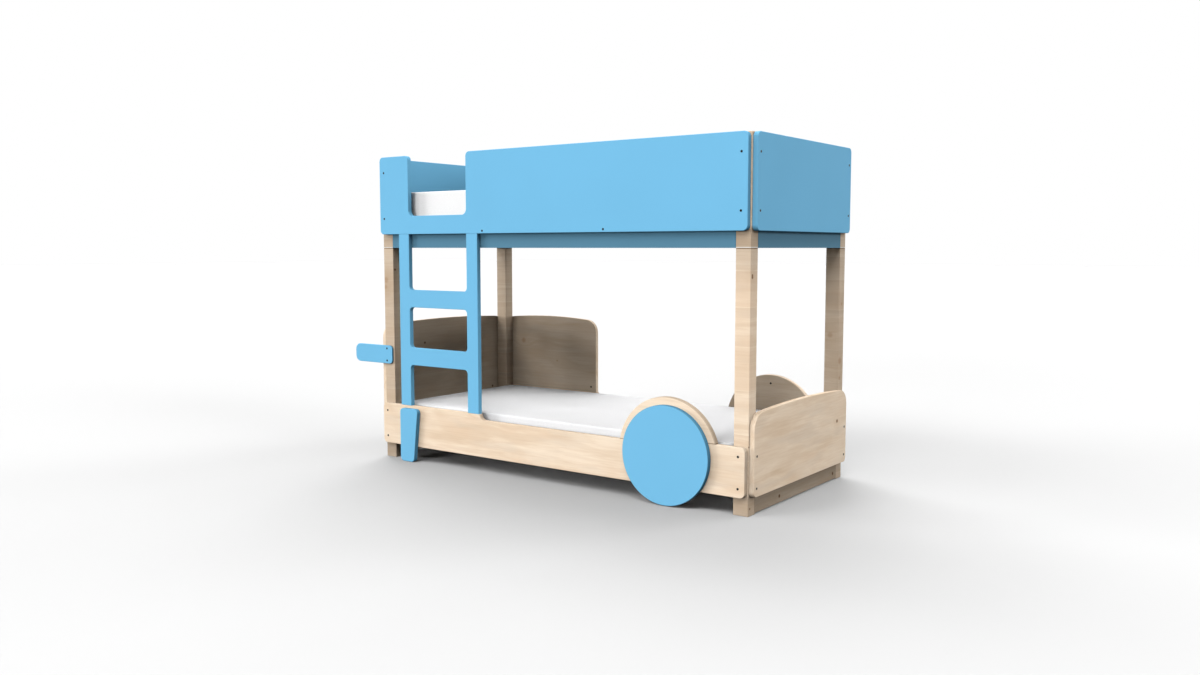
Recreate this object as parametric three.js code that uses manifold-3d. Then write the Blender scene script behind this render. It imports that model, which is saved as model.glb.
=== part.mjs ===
// Children's bunk bed: a low bed with a slatted base, a high bed on four jointed posts, a ladder cut
// from one board, painted guard panels, and wheel-shaped plates on the sides of the low bed.
// Millimetres. +X runs along the bed to the footboard, +Y to the back, +Z up, the floor is z = 0.

import * as THREE from 'three';
import { mergeVertices } from 'three/addons/utils/BufferGeometryUtils.js';
import Module from 'manifold-3d';

const wasm = await Module();
wasm.setup();

// Mattresses, and the room that they have in the frame
const MATTRESS_LENGTH = 2000;
const MATTRESS_WIDTH = 900;
const MATTRESS_THICKNESS = 150;
const MATTRESS_END_GAP = 4.5;
const MATTRESS_SIDE_GAP = 18.5;
const MATTRESS_REST_GAP = 0.3;
const MATTRESS_CORNER_RADIUS = 45;
const MATTRESS_EDGE_RADIUS = 24;
const MATTRESS_CROWN = 5;
const MATTRESS_SIDE_DRAW_IN = 4;
const MATTRESS_WAIST = 3;

// Posts: a lower and an upper one at each corner, joined by a dowel
const POST_WIDTH = 70;
const POST_DEPTH = 59;
const LOWER_POST_HEIGHT = 1098;
const UPPER_POST_HEIGHT = 463;
const POST_EDGE_RADIUS = 3;
const POST_END_CHAMFER = 1.5;
const DOWEL_RADIUS = 6;
const DOWEL_LENGTH = 80;
const DOWEL_CHAMFER = 1.5;
const DOWEL_CLEARANCE = 0.3;

// Boards that the panels, rails, ladder and plates are cut from
const BOARD_THICKNESS = 24;
const BOARD_SETBACK = 5;
const BOARD_CORNER_RADIUS = 22;
const ROUND_OVER = 2;

// Guard panels round the high bed, and the entry notch above the ladder
const GUARD_HEIGHT = 394;
const NOTCH_DEPTH = 302;
const NOTCH_CORNER_RADIUS = 28;

// Ladder
const LADDER_END_DISTANCE = 141;
const LADDER_STILE_WIDTH = 72;
const LADDER_OPENING_WIDTH = 398;
const LADDER_RUNG_HEIGHT = 89;
const LADDER_LOWER_RUNG_TOP = 589;
const LADDER_RUNG_PITCH = 296;
const LADDER_CORNER_RADIUS = 20;

// Side rails of the low bed, with raised ends
const SIDE_RAIL_BOTTOM = 79;
const SIDE_RAIL_HEIGHT = 210;
const SIDE_RAIL_STEP = 28;
const SIDE_RAIL_STEP_MARGIN = 5;

// Wheel plates and the arches behind them
const WHEEL_RADIUS = 216;
const WHEEL_FLOOR_GAP = 2;
const WHEEL_END_DISTANCE = 379;
const ARCH_MARGIN = 33;
const ARCH_STEP_CLEARANCE = 0.5;

// Head, foot and back boards with arched tops
const END_BOARD_BOTTOM = 81;
const HEADBOARD_TOP = 709.5;
const FOOTBOARD_TOP = 441;
const END_BOARD_RISE = 16;
const BACK_BOARD_TOP = 706;
const BACK_BOARD_RISE = 18;
const ARCHED_CORNER_RADIUS = 70;

// Rails between the feet at both ends
const BASE_RAIL_THICKNESS = 24;
const BASE_RAIL_HEIGHT = 120;
const BASE_RAIL_FLOOR_GAP = 6;
const BASE_RAIL_COVE = 5;

// Painted rails that carry the high bed
const SUPPORT_RAIL_THICKNESS = 24;
const SUPPORT_RAIL_HEIGHT = 120;

// Slats, and the ledgers that they lie on
const SLAT_COUNT = 10;
const SLAT_WIDTH = 120;
const SLAT_THICKNESS = 18;
const SLAT_END_CLEARANCE = 1;
const SLAT_EDGE_RADIUS = 3;
const SLAT_END_CHAMFER = 1;
const LEDGER_THICKNESS = 25;
const LEDGER_HEIGHT = 40;
const LEDGER_END_CLEARANCE = 1;
const LOWER_LEDGER_RISE = 8;
const UPPER_LEDGER_DROP = 1;

// Small plates on the front: the mirror plate on the post and the mudguard plate on the rail
const MIRROR_OVERHANG = 220;
const MIRROR_LENGTH = 281;
const MIRROR_HEIGHT = 95;
const MIRROR_THICKNESS = 10;
const MIRROR_CENTRE_HEIGHT = 541.5;
const MIRROR_INNER_RADIUS = 20;
const MIRROR_OUTER_RADIUS = 32;
const MUDGUARD_END_DISTANCE = 155;
const MUDGUARD_TOP_WIDTH = 126;
const MUDGUARD_BOTTOM_WIDTH = 95;
const MUDGUARD_DROP = 13;
const MUDGUARD_FLOOR_GAP = 2;
const MUDGUARD_CORNER_RADIUS = 20;

// Fineness of curves, in segments
const CORNER_SEGMENTS = 6;
const ARCHED_TOP_SEGMENTS = 10;
const WHEEL_SEGMENTS = 72;
const ARCH_SEGMENTS = 40;
const ROUND_OVER_SEGMENTS = 2;
const DOWEL_SEGMENTS = 16;
const POST_CORNER_SEGMENTS = 3;

// Frame sizes that follow
const CLEAR_LENGTH = MATTRESS_LENGTH + 2 * MATTRESS_END_GAP;
const CLEAR_WIDTH = MATTRESS_WIDTH + 2 * MATTRESS_SIDE_GAP;
const POST_OUTER_X = CLEAR_LENGTH / 2 + POST_WIDTH;
const POST_INNER_X = CLEAR_LENGTH / 2;
const POST_OUTER_Y = CLEAR_WIDTH / 2;
const POST_INNER_Y = POST_OUTER_Y - POST_DEPTH;
const BOARD_END_X = POST_OUTER_X - BOARD_SETBACK;
const BOARD_END_Y = POST_OUTER_Y - BOARD_SETBACK;
const POST_TOP = LOWER_POST_HEIGHT + UPPER_POST_HEIGHT;
const GUARD_BOTTOM = POST_TOP - GUARD_HEIGHT;
const SIDE_RAIL_TOP = SIDE_RAIL_BOTTOM + SIDE_RAIL_HEIGHT;
const SIDE_RAIL_LOW_TOP = SIDE_RAIL_TOP - SIDE_RAIL_STEP;
const SUPPORT_RAIL_TOP = LOWER_POST_HEIGHT + SUPPORT_RAIL_HEIGHT;

const LADDER_LEFT_X = -POST_OUTER_X + LADDER_END_DISTANCE;
const LADDER_OPENING_LEFT_X = LADDER_LEFT_X + LADDER_STILE_WIDTH;
const LADDER_OPENING_RIGHT_X = LADDER_OPENING_LEFT_X + LADDER_OPENING_WIDTH;
const LADDER_RIGHT_X = LADDER_OPENING_RIGHT_X + LADDER_STILE_WIDTH;
const WHEEL_X = POST_OUTER_X - WHEEL_END_DISTANCE;
const WHEEL_Z = WHEEL_RADIUS + WHEEL_FLOOR_GAP;
const ARCH_RADIUS = WHEEL_RADIUS + ARCH_MARGIN;
const LEFT_STEP_X = LADDER_RIGHT_X + SIDE_RAIL_STEP_MARGIN;
const RIGHT_STEP_X = WHEEL_X;

const LOWER_LEDGER_TOP = SIDE_RAIL_BOTTOM + LOWER_LEDGER_RISE + LEDGER_HEIGHT;
const UPPER_LEDGER_TOP = SUPPORT_RAIL_TOP - UPPER_LEDGER_DROP;
const LOWER_SLAT_TOP = LOWER_LEDGER_TOP + SLAT_THICKNESS;
const UPPER_SLAT_TOP = UPPER_LEDGER_TOP + SLAT_THICKNESS;

// The origin is the point on the floor below the middle of the whole bed, mirror plate included
const ORIGIN_SHIFT_X = (MIRROR_OVERHANG - BOARD_THICKNESS) / 2;

function paint(color) {
  return new THREE.MeshStandardMaterial({ color, roughness: 0.5, metalness: 0 });
}

function timber(color) {
  return new THREE.MeshStandardMaterial({ color, roughness: 0.6, metalness: 0 });
}

function fabric(color) {
  return new THREE.MeshStandardMaterial({ color, roughness: 0.95, metalness: 0 });
}

const BLUE = 0x7bc4eb;
const BIRCH = 0xeed6b8;
const SLAT_WOOD = 0xe6cda6;
const WHITE = 0xf4f4f4;

const bed = new THREE.Group();
bed.position.x = ORIGIN_SHIFT_X;

function place(name, geometry, material, x = 0, y = 0, z = 0) {
  const mesh = new THREE.Mesh(geometry, material);
  mesh.name = name;
  mesh.position.set(x, y, z);
  bed.add(mesh);
  return mesh;
}

// Points of an arc, ends included
function arc(cx, cy, radius, from, to, segments) {
  const points = [];
  for (let i = 0; i <= segments; i += 1) {
    const angle = from + ((to - from) * i) / segments;
    points.push(new THREE.Vector2(cx + radius * Math.cos(angle), cy + radius * Math.sin(angle)));
  }
  return points;
}

// The fillet of one corner of a polygon: the corner itself where its radius is zero
function fillet(before, corner, after) {
  const [x, y, radius] = corner;
  const apex = new THREE.Vector2(x, y);
  if (!radius) return [apex];
  const towardsBefore = new THREE.Vector2(before[0] - x, before[1] - y).normalize();
  const towardsAfter = new THREE.Vector2(after[0] - x, after[1] - y).normalize();
  const halfAngle = Math.acos(towardsBefore.dot(towardsAfter)) / 2;
  const middle = towardsBefore.clone().add(towardsAfter).normalize();
  const centre = apex.clone().addScaledVector(middle, radius / Math.sin(halfAngle));
  const start = apex.clone().addScaledVector(towardsBefore, radius / Math.tan(halfAngle));
  const end = apex.clone().addScaledVector(towardsAfter, radius / Math.tan(halfAngle));
  const from = start.sub(centre).angle();
  let turn = end.sub(centre).angle() - from;
  if (turn > Math.PI) turn -= 2 * Math.PI;
  if (turn < -Math.PI) turn += 2 * Math.PI;
  return arc(centre.x, centre.y, radius, from, from + turn, CORNER_SEGMENTS);
}

// An outline from corners [x, y, radius], each with its own fillet
function filleted(corners) {
  const last = corners.length - 1;
  return corners.flatMap((corner, i) => {
    const before = corners[i === 0 ? last : i - 1];
    const after = corners[i === last ? 0 : i + 1];
    return fillet(before, corner, after);
  });
}

function rectangle(x0, y0, x1, y1, radius) {
  return filleted([[x0, y0, radius], [x1, y0, radius], [x1, y1, radius], [x0, y1, radius]]);
}

// A board with rounded-over edges, cut to an outline and any holes, lying on z = 0 to thickness
function board(outline, thickness, holes = []) {
  const shape = new THREE.Shape(outline);
  holes.forEach((hole) => shape.holes.push(new THREE.Path(hole)));
  const geometry = new THREE.ExtrudeGeometry(shape, {
    depth: thickness - 2 * ROUND_OVER,
    bevelEnabled: true,
    bevelThickness: ROUND_OVER,
    bevelSize: ROUND_OVER,
    bevelOffset: -ROUND_OVER,
    bevelSegments: ROUND_OVER_SEGMENTS,
  });
  return geometry.translate(0, 0, ROUND_OVER);
}

// Stands a board up facing the front: its outline is in x and z, its back face at y = 0
function facingFront(geometry) {
  return geometry.rotateX(Math.PI / 2);
}

// The same for the back: its front face is at y = 0 and it reaches to +Y
function facingBack(geometry, thickness) {
  return facingFront(geometry).translate(0, thickness, 0);
}

// Stands a board up across the bed: its outline is in y and z, and it reaches from x = 0 to +X
function acrossBed(geometry) {
  const turn = new THREE.Matrix4().makeBasis(
    new THREE.Vector3(0, 1, 0),
    new THREE.Vector3(0, 0, 1),
    new THREE.Vector3(1, 0, 0),
  );
  return geometry.applyMatrix4(turn);
}

function solidOf(geometry) {
  const bare = geometry.clone();
  bare.deleteAttribute('normal');
  bare.deleteAttribute('uv');
  const merged = mergeVertices(bare);
  return new wasm.Manifold(new wasm.Mesh({
    numProp: 3,
    vertProperties: new Float32Array(merged.attributes.position.array),
    triVerts: new Uint32Array(merged.index.array),
  }));
}

function geometryOf(solid) {
  const mesh = solid.getMesh();
  const geometry = new THREE.BufferGeometry();
  geometry.setAttribute('position', new THREE.BufferAttribute(mesh.vertProperties, 3));
  geometry.setIndex(new THREE.BufferAttribute(mesh.triVerts, 1));
  const facets = geometry.toNonIndexed();
  facets.computeVertexNormals();
  return facets;
}

// A bar of rectangular section along z with eased edges and chamfered ends, centred on x and y
function bar(width, depth, length, edgeRadius, endChamfer) {
  const section = [];
  const cx = width / 2 - edgeRadius;
  const cy = depth / 2 - edgeRadius;
  [[cx, -cy], [cx, cy], [-cx, cy], [-cx, -cy]].forEach(([x, y], i) => {
    const from = ((i - 1) * Math.PI) / 2;
    section.push(...arc(x, y, edgeRadius, from, from + Math.PI / 2, POST_CORNER_SEGMENTS));
  });
  const geometry = new THREE.ExtrudeGeometry(new THREE.Shape(section), {
    depth: length - 2 * endChamfer,
    bevelEnabled: true,
    bevelThickness: endChamfer,
    bevelSize: endChamfer,
    bevelOffset: -endChamfer,
    bevelSegments: 1,
  });
  return geometry.translate(0, 0, endChamfer);
}

// A turned pin along z with chamfered ends, standing on z = 0
function pin(radius, length, chamfer) {
  const profile = [
    [0, 0], [radius - chamfer, 0], [radius, chamfer],
    [radius, length - chamfer], [radius - chamfer, length], [0, length],
  ].map(([x, y]) => new THREE.Vector2(x, y));
  return new THREE.LatheGeometry(profile, DOWEL_SEGMENTS).rotateX(Math.PI / 2);
}

// A post with a blind dowel bore in one end: the top of a lower post, the bottom of an upper one
function post(height, boreAtTop) {
  const boreDepth = DOWEL_LENGTH / 2 + DOWEL_CLEARANCE;
  const boreRadius = DOWEL_RADIUS + DOWEL_CLEARANCE;
  const bore = new THREE.CylinderGeometry(boreRadius, boreRadius, 2 * boreDepth, DOWEL_SEGMENTS);
  bore.rotateX(Math.PI / 2);
  bore.translate(0, 0, boreAtTop ? height : 0);
  const blank = solidOf(bar(POST_WIDTH, POST_DEPTH, height, POST_EDGE_RADIUS, POST_END_CHAMFER));
  return geometryOf(blank.subtract(solidOf(bore)));
}

function addPosts() {
  const x = POST_OUTER_X - POST_WIDTH / 2;
  const y = POST_OUTER_Y - POST_DEPTH / 2;
  const corners = { front_left: [-x, -y], front_right: [x, -y], back_left: [-x, y], back_right: [x, y] };
  Object.entries(corners).forEach(([corner, [px, py]]) => {
    const wood = timber(BIRCH);
    place(`lower_post_${corner}`, post(LOWER_POST_HEIGHT, true), wood, px, py, 0);
    place(`upper_post_${corner}`, post(UPPER_POST_HEIGHT, false), wood, px, py, LOWER_POST_HEIGHT);
    const dowel = pin(DOWEL_RADIUS, DOWEL_LENGTH, DOWEL_CHAMFER);
    place(`post_dowel_${corner}`, dowel, timber(SLAT_WOOD), px, py, LOWER_POST_HEIGHT - DOWEL_LENGTH / 2);
  });
}

// Guard panels: the front one has the entry notch, in line with the ladder's opening
function addGuardPanels() {
  const r = BOARD_CORNER_RADIUS;
  const notchBottom = POST_TOP - NOTCH_DEPTH;
  const front = filleted([
    [-BOARD_END_X, GUARD_BOTTOM, r],
    [BOARD_END_X, GUARD_BOTTOM, r],
    [BOARD_END_X, POST_TOP, r],
    [LADDER_OPENING_RIGHT_X, POST_TOP, r],
    [LADDER_OPENING_RIGHT_X, notchBottom, NOTCH_CORNER_RADIUS],
    [LADDER_OPENING_LEFT_X, notchBottom, NOTCH_CORNER_RADIUS],
    [LADDER_OPENING_LEFT_X, POST_TOP, r],
    [-BOARD_END_X, POST_TOP, r],
  ]);
  const back = rectangle(-BOARD_END_X, GUARD_BOTTOM, BOARD_END_X, POST_TOP, r);
  const end = rectangle(-BOARD_END_Y, GUARD_BOTTOM, BOARD_END_Y, POST_TOP, r);
  place('guard_panel_front', facingFront(board(front, BOARD_THICKNESS)), paint(BLUE), 0, -POST_OUTER_Y);
  const backPanel = facingBack(board(back, BOARD_THICKNESS), BOARD_THICKNESS);
  place('guard_panel_back', backPanel, paint(BLUE), 0, POST_OUTER_Y);
  const leftX = -POST_OUTER_X - BOARD_THICKNESS;
  place('guard_panel_left', acrossBed(board(end, BOARD_THICKNESS)), paint(BLUE), leftX);
  place('guard_panel_right', acrossBed(board(end, BOARD_THICKNESS)), paint(BLUE), POST_OUTER_X);
}

// Ladder: one board with two stiles and two rungs, butted under the panel and onto the side rail
function addLadder() {
  const r = LADDER_CORNER_RADIUS;
  const lowerTop = LADDER_LOWER_RUNG_TOP;
  const lowerBottom = lowerTop - LADDER_RUNG_HEIGHT;
  const upperTop = lowerTop + LADDER_RUNG_PITCH;
  const upperBottom = upperTop - LADDER_RUNG_HEIGHT;
  const outline = filleted([
    [LADDER_LEFT_X, SIDE_RAIL_TOP, 0],
    [LADDER_OPENING_LEFT_X, SIDE_RAIL_TOP, 0],
    [LADDER_OPENING_LEFT_X, lowerBottom, r],
    [LADDER_OPENING_RIGHT_X, lowerBottom, r],
    [LADDER_OPENING_RIGHT_X, SIDE_RAIL_TOP, 0],
    [LADDER_RIGHT_X, SIDE_RAIL_TOP, 0],
    [LADDER_RIGHT_X, GUARD_BOTTOM, 0],
    [LADDER_OPENING_RIGHT_X, GUARD_BOTTOM, 0],
    [LADDER_OPENING_RIGHT_X, upperTop, r],
    [LADDER_OPENING_LEFT_X, upperTop, r],
    [LADDER_OPENING_LEFT_X, GUARD_BOTTOM, 0],
    [LADDER_LEFT_X, GUARD_BOTTOM, 0],
  ]);
  const hole = rectangle(LADDER_OPENING_LEFT_X, lowerTop, LADDER_OPENING_RIGHT_X, upperBottom, r);
  const ladder = facingFront(board(outline, BOARD_THICKNESS, [hole]));
  place('ladder', ladder, paint(BLUE), 0, -POST_OUTER_Y);
}

// Side rails: raised ends, and coves down to the lower middle
function sideRailOutline() {
  const r = BOARD_CORNER_RADIUS;
  const cove = SIDE_RAIL_STEP;
  const rightCove = arc(RIGHT_STEP_X - cove, SIDE_RAIL_TOP, cove, 0, -Math.PI / 2, CORNER_SEGMENTS);
  const leftCove = arc(LEFT_STEP_X + cove, SIDE_RAIL_TOP, cove, -Math.PI / 2, -Math.PI, CORNER_SEGMENTS);
  const ends = filleted([
    [-BOARD_END_X, SIDE_RAIL_TOP, r],
    [-BOARD_END_X, SIDE_RAIL_BOTTOM, r],
    [BOARD_END_X, SIDE_RAIL_BOTTOM, r],
    [BOARD_END_X, SIDE_RAIL_TOP, r],
  ]);
  return [...ends, ...rightCove, ...leftCove];
}

function addSideRails() {
  const outline = sideRailOutline();
  const front = facingFront(board(outline, BOARD_THICKNESS));
  const back = facingBack(board(outline, BOARD_THICKNESS), BOARD_THICKNESS);
  place('side_rail_front', front, timber(BIRCH), 0, -POST_OUTER_Y);
  place('side_rail_back', back, timber(BIRCH), 0, POST_OUTER_Y);
}

// An arch stands on the side rail behind its wheel, and its foot follows the rail's step
function archOutline() {
  const cove = SIDE_RAIL_STEP;
  const highFoot = SIDE_RAIL_TOP - WHEEL_Z;
  const lowFoot = SIDE_RAIL_LOW_TOP - WHEEL_Z;
  const from = Math.asin(highFoot / ARCH_RADIUS);
  const to = Math.PI - Math.asin(lowFoot / ARCH_RADIUS);
  const rim = arc(WHEEL_X, WHEEL_Z, ARCH_RADIUS, from, to, ARCH_SEGMENTS);
  const stepRadius = cove - ARCH_STEP_CLEARANCE;
  const step = arc(RIGHT_STEP_X - cove, SIDE_RAIL_TOP, stepRadius, -Math.PI / 2, 0, CORNER_SEGMENTS);
  return [...rim, new THREE.Vector2(RIGHT_STEP_X - cove, SIDE_RAIL_LOW_TOP), ...step];
}

function addWheels() {
  const arch = archOutline();
  const rim = arc(WHEEL_X, WHEEL_Z, WHEEL_RADIUS, 0, 2 * Math.PI, WHEEL_SEGMENTS).slice(0, -1);
  const wheelY = POST_OUTER_Y + BOARD_THICKNESS;
  place('wheel_arch_front', facingFront(board(arch, BOARD_THICKNESS)), timber(BIRCH), 0, -POST_OUTER_Y);
  const backArch = facingBack(board(arch, BOARD_THICKNESS), BOARD_THICKNESS);
  place('wheel_arch_back', backArch, timber(BIRCH), 0, POST_OUTER_Y);
  place('wheel_front', facingFront(board(rim, BOARD_THICKNESS)), paint(BLUE), 0, -wheelY);
  const backWheel = facingBack(board(rim, BOARD_THICKNESS), BOARD_THICKNESS);
  place('wheel_back', backWheel, paint(BLUE), 0, wheelY);
}

// A board whose top is a shallow arch with round corners: crown is the height of its middle
function archedOutline(halfWidth, bottom, crown, rise, bottomRadius) {
  const radius = (halfWidth * halfWidth + rise * rise) / (2 * rise);
  const centre = crown - radius;
  const corner = ARCHED_CORNER_RADIUS;
  const cornerX = halfWidth - corner;
  const cornerY = centre + Math.sqrt((radius - corner) ** 2 - cornerX ** 2);
  const start = Math.atan2(cornerY - centre, cornerX);
  const right = arc(cornerX, cornerY, corner, 0, start, CORNER_SEGMENTS);
  const top = arc(0, centre, radius, start, Math.PI - start, ARCHED_TOP_SEGMENTS).slice(1, -1);
  const left = arc(-cornerX, cornerY, corner, Math.PI - start, Math.PI, CORNER_SEGMENTS);
  const foot = filleted([
    [-halfWidth, cornerY, 0],
    [-halfWidth, bottom, bottomRadius],
    [halfWidth, bottom, bottomRadius],
    [halfWidth, cornerY, 0],
  ]);
  return [...right, ...top, ...left, ...foot.slice(1, -1)];
}

function addEndBoards() {
  const r = BOARD_CORNER_RADIUS;
  const head = archedOutline(BOARD_END_Y, END_BOARD_BOTTOM, HEADBOARD_TOP, END_BOARD_RISE, r);
  const foot = archedOutline(BOARD_END_Y, END_BOARD_BOTTOM, FOOTBOARD_TOP, END_BOARD_RISE, r);
  const headX = -POST_OUTER_X - BOARD_THICKNESS;
  place('headboard', acrossBed(board(head, BOARD_THICKNESS)), timber(BIRCH), headX);
  place('footboard', acrossBed(board(foot, BOARD_THICKNESS)), timber(BIRCH), POST_OUTER_X);
}

// The back board stands on the raised left end of the back side rail and ends where that does
function addBackBoard() {
  const left = -BOARD_END_X;
  const right = LADDER_RIGHT_X;
  const outline = archedOutline((right - left) / 2, SIDE_RAIL_TOP, BACK_BOARD_TOP, BACK_BOARD_RISE, 0);
  const geometry = facingBack(board(outline, BOARD_THICKNESS), BOARD_THICKNESS);
  place('back_board', geometry, timber(BIRCH), (left + right) / 2, POST_OUTER_Y);
}

// Base rails between the feet, with coves down to them
function addBaseRails() {
  const bottom = BASE_RAIL_FLOOR_GAP;
  const top = bottom + BASE_RAIL_HEIGHT;
  const cove = BASE_RAIL_COVE;
  const y = POST_INNER_Y;
  const outline = [
    new THREE.Vector2(y, top),
    new THREE.Vector2(-y, top),
    ...arc(-y + cove, bottom - cove, cove, Math.PI, Math.PI / 2, CORNER_SEGMENTS),
    ...arc(y - cove, bottom - cove, cove, Math.PI / 2, 0, CORNER_SEGMENTS),
  ];
  const plain = () => {
    const shape = new THREE.Shape(outline);
    return acrossBed(new THREE.ExtrudeGeometry(shape, { depth: BASE_RAIL_THICKNESS, bevelEnabled: false }));
  };
  place('base_rail_left', plain(), timber(BIRCH), -POST_OUTER_X);
  place('base_rail_right', plain(), timber(BIRCH), POST_OUTER_X - BASE_RAIL_THICKNESS);
}

// Support rails between the upper posts, flush with their outer faces
function addSupportRails() {
  const z = LOWER_POST_HEIGHT + SUPPORT_RAIL_HEIGHT / 2;
  const y = POST_OUTER_Y - SUPPORT_RAIL_THICKNESS / 2;
  const x = POST_OUTER_X - SUPPORT_RAIL_THICKNESS / 2;
  const long = () => new THREE.BoxGeometry(2 * POST_INNER_X, SUPPORT_RAIL_THICKNESS, SUPPORT_RAIL_HEIGHT);
  const short = () => new THREE.BoxGeometry(SUPPORT_RAIL_THICKNESS, 2 * POST_INNER_Y, SUPPORT_RAIL_HEIGHT);
  place('support_rail_front', long(), paint(BLUE), 0, -y, z);
  place('support_rail_back', long(), paint(BLUE), 0, y, z);
  place('support_rail_left', short(), paint(BLUE), -x, 0, z);
  place('support_rail_right', short(), paint(BLUE), x, 0, z);
}

// One bed base: two ledgers on the inner faces of its rails, and the slats across them
function addBase(name, railInnerY, ledgerTop) {
  const ledgerLength = 2 * (POST_INNER_X - LEDGER_END_CLEARANCE);
  const ledgerY = railInnerY - LEDGER_THICKNESS / 2;
  const ledgerZ = ledgerTop - LEDGER_HEIGHT / 2;
  const ledger = () => new THREE.BoxGeometry(ledgerLength, LEDGER_THICKNESS, LEDGER_HEIGHT);
  place(`${name}_ledger_front`, ledger(), timber(SLAT_WOOD), 0, -ledgerY, ledgerZ);
  place(`${name}_ledger_back`, ledger(), timber(SLAT_WOOD), 0, ledgerY, ledgerZ);
  const slatLength = 2 * (railInnerY - SLAT_END_CLEARANCE);
  const gap = (2 * POST_INNER_X - SLAT_COUNT * SLAT_WIDTH) / (SLAT_COUNT + 1);
  for (let i = 0; i < SLAT_COUNT; i += 1) {
    const slat = bar(SLAT_WIDTH, SLAT_THICKNESS, slatLength, SLAT_EDGE_RADIUS, SLAT_END_CHAMFER);
    slat.translate(0, 0, -slatLength / 2).rotateX(Math.PI / 2);
    const x = -POST_INNER_X + gap + SLAT_WIDTH / 2 + i * (SLAT_WIDTH + gap);
    const number = String(i + 1).padStart(2, '0');
    place(`${name}_slat_${number}`, slat, timber(SLAT_WOOD), x, 0, ledgerTop + SLAT_THICKNESS / 2);
  }
}

// One ring of a mattress: a rounded rectangle set in from the outline, its sides drawn in between corners
function mattressRing(inset, z, sideSegments, endSegments) {
  const radius = Math.max(MATTRESS_CORNER_RADIUS - inset, MATTRESS_EDGE_RADIUS / 4);
  const halfLength = MATTRESS_LENGTH / 2 - inset;
  const halfWidth = MATTRESS_WIDTH / 2 - inset;
  const cx = halfLength - radius;
  const cy = halfWidth - radius;
  const ring = [];
  const side = (from, to, segments, inward) => {
    for (let i = 1; i < segments; i += 1) {
      const t = i / segments;
      const draw = MATTRESS_SIDE_DRAW_IN * Math.sin(Math.PI * t);
      const x = from[0] + (to[0] - from[0]) * t + inward[0] * draw;
      const y = from[1] + (to[1] - from[1]) * t + inward[1] * draw;
      ring.push([x, y, z]);
    }
  };
  const corner = (x, y, from) => {
    arc(x, y, radius, from, from + Math.PI / 2, CORNER_SEGMENTS).forEach((p) => ring.push([p.x, p.y, z]));
  };
  corner(cx, cy, 0);
  side([cx, halfWidth], [-cx, halfWidth], sideSegments, [0, -1]);
  corner(-cx, cy, Math.PI / 2);
  side([-halfLength, cy], [-halfLength, -cy], endSegments, [1, 0]);
  corner(-cx, -cy, Math.PI);
  side([-cx, -halfWidth], [cx, -halfWidth], sideSegments, [0, 1]);
  corner(cx, -cy, -Math.PI / 2);
  side([halfLength, -cy], [halfLength, cy], endSegments, [-1, 0]);
  return ring;
}

// A mattress: flat below, with round edges, sides drawn in at mid height and a crowned top
function mattress() {
  const sideSegments = 10;
  const endSegments = 6;
  const edgeSegments = 3;
  const edge = MATTRESS_EDGE_RADIUS;
  const shoulder = MATTRESS_THICKNESS - MATTRESS_CROWN;
  const stations = [];
  for (let i = 0; i <= edgeSegments; i += 1) {
    const angle = (Math.PI / 2) * (i / edgeSegments);
    stations.push([edge * (1 - Math.sin(angle)), edge * (1 - Math.cos(angle))]);
  }
  stations.push([MATTRESS_WAIST, MATTRESS_THICKNESS / 2]);
  for (let i = 0; i <= edgeSegments; i += 1) {
    const angle = (Math.PI / 2) * (i / edgeSegments);
    stations.push([edge * (1 - Math.cos(angle)), shoulder - edge * (1 - Math.sin(angle))]);
  }
  const middle = MATTRESS_WIDTH / 2;
  [0.3, 0.55, 0.8].forEach((share) => {
    const inset = edge + (middle - edge) * share;
    stations.push([inset, shoulder + MATTRESS_CROWN * Math.sin((Math.PI / 2) * share)]);
  });
  const rings = stations.map(([inset, z]) => mattressRing(inset, z, sideSegments, endSegments));
  const count = rings[0].length;
  const vertices = [...rings.flat(), [0, 0, 0], [0, 0, MATTRESS_THICKNESS]];
  const bottom = vertices.length - 2;
  const top = vertices.length - 1;
  const lastRing = (rings.length - 1) * count;
  const faces = [];
  for (let i = 0; i < count; i += 1) {
    const j = (i + 1) % count;
    faces.push([bottom, j, i]);
    for (let k = 0; k < rings.length - 1; k += 1) {
      const a = k * count;
      const b = a + count;
      faces.push([a + i, a + j, b + j]);
      faces.push([a + i, b + j, b + i]);
    }
    faces.push([top, lastRing + i, lastRing + j]);
  }
  const geometry = new THREE.BufferGeometry();
  geometry.setAttribute('position', new THREE.Float32BufferAttribute(vertices.flat(), 3));
  geometry.setIndex(faces.flat());
  geometry.computeVertexNormals();
  return geometry;
}

function addMattresses() {
  place('lower_mattress', mattress(), fabric(WHITE), 0, 0, LOWER_SLAT_TOP + MATTRESS_REST_GAP);
  place('upper_mattress', mattress(), fabric(WHITE), 0, 0, UPPER_SLAT_TOP + MATTRESS_REST_GAP);
}

// The mirror plate sticks out past the front left post
function addMirrorPlate() {
  const left = -POST_OUTER_X - MIRROR_OVERHANG;
  const right = left + MIRROR_LENGTH;
  const bottom = MIRROR_CENTRE_HEIGHT - MIRROR_HEIGHT / 2;
  const top = MIRROR_CENTRE_HEIGHT + MIRROR_HEIGHT / 2;
  const outline = filleted([
    [left, bottom, MIRROR_OUTER_RADIUS],
    [right, bottom, MIRROR_INNER_RADIUS],
    [right, top, MIRROR_INNER_RADIUS],
    [left, top, MIRROR_OUTER_RADIUS],
  ]);
  place('mirror_plate', facingFront(board(outline, MIRROR_THICKNESS)), paint(BLUE), 0, -POST_OUTER_Y);
}

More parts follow.
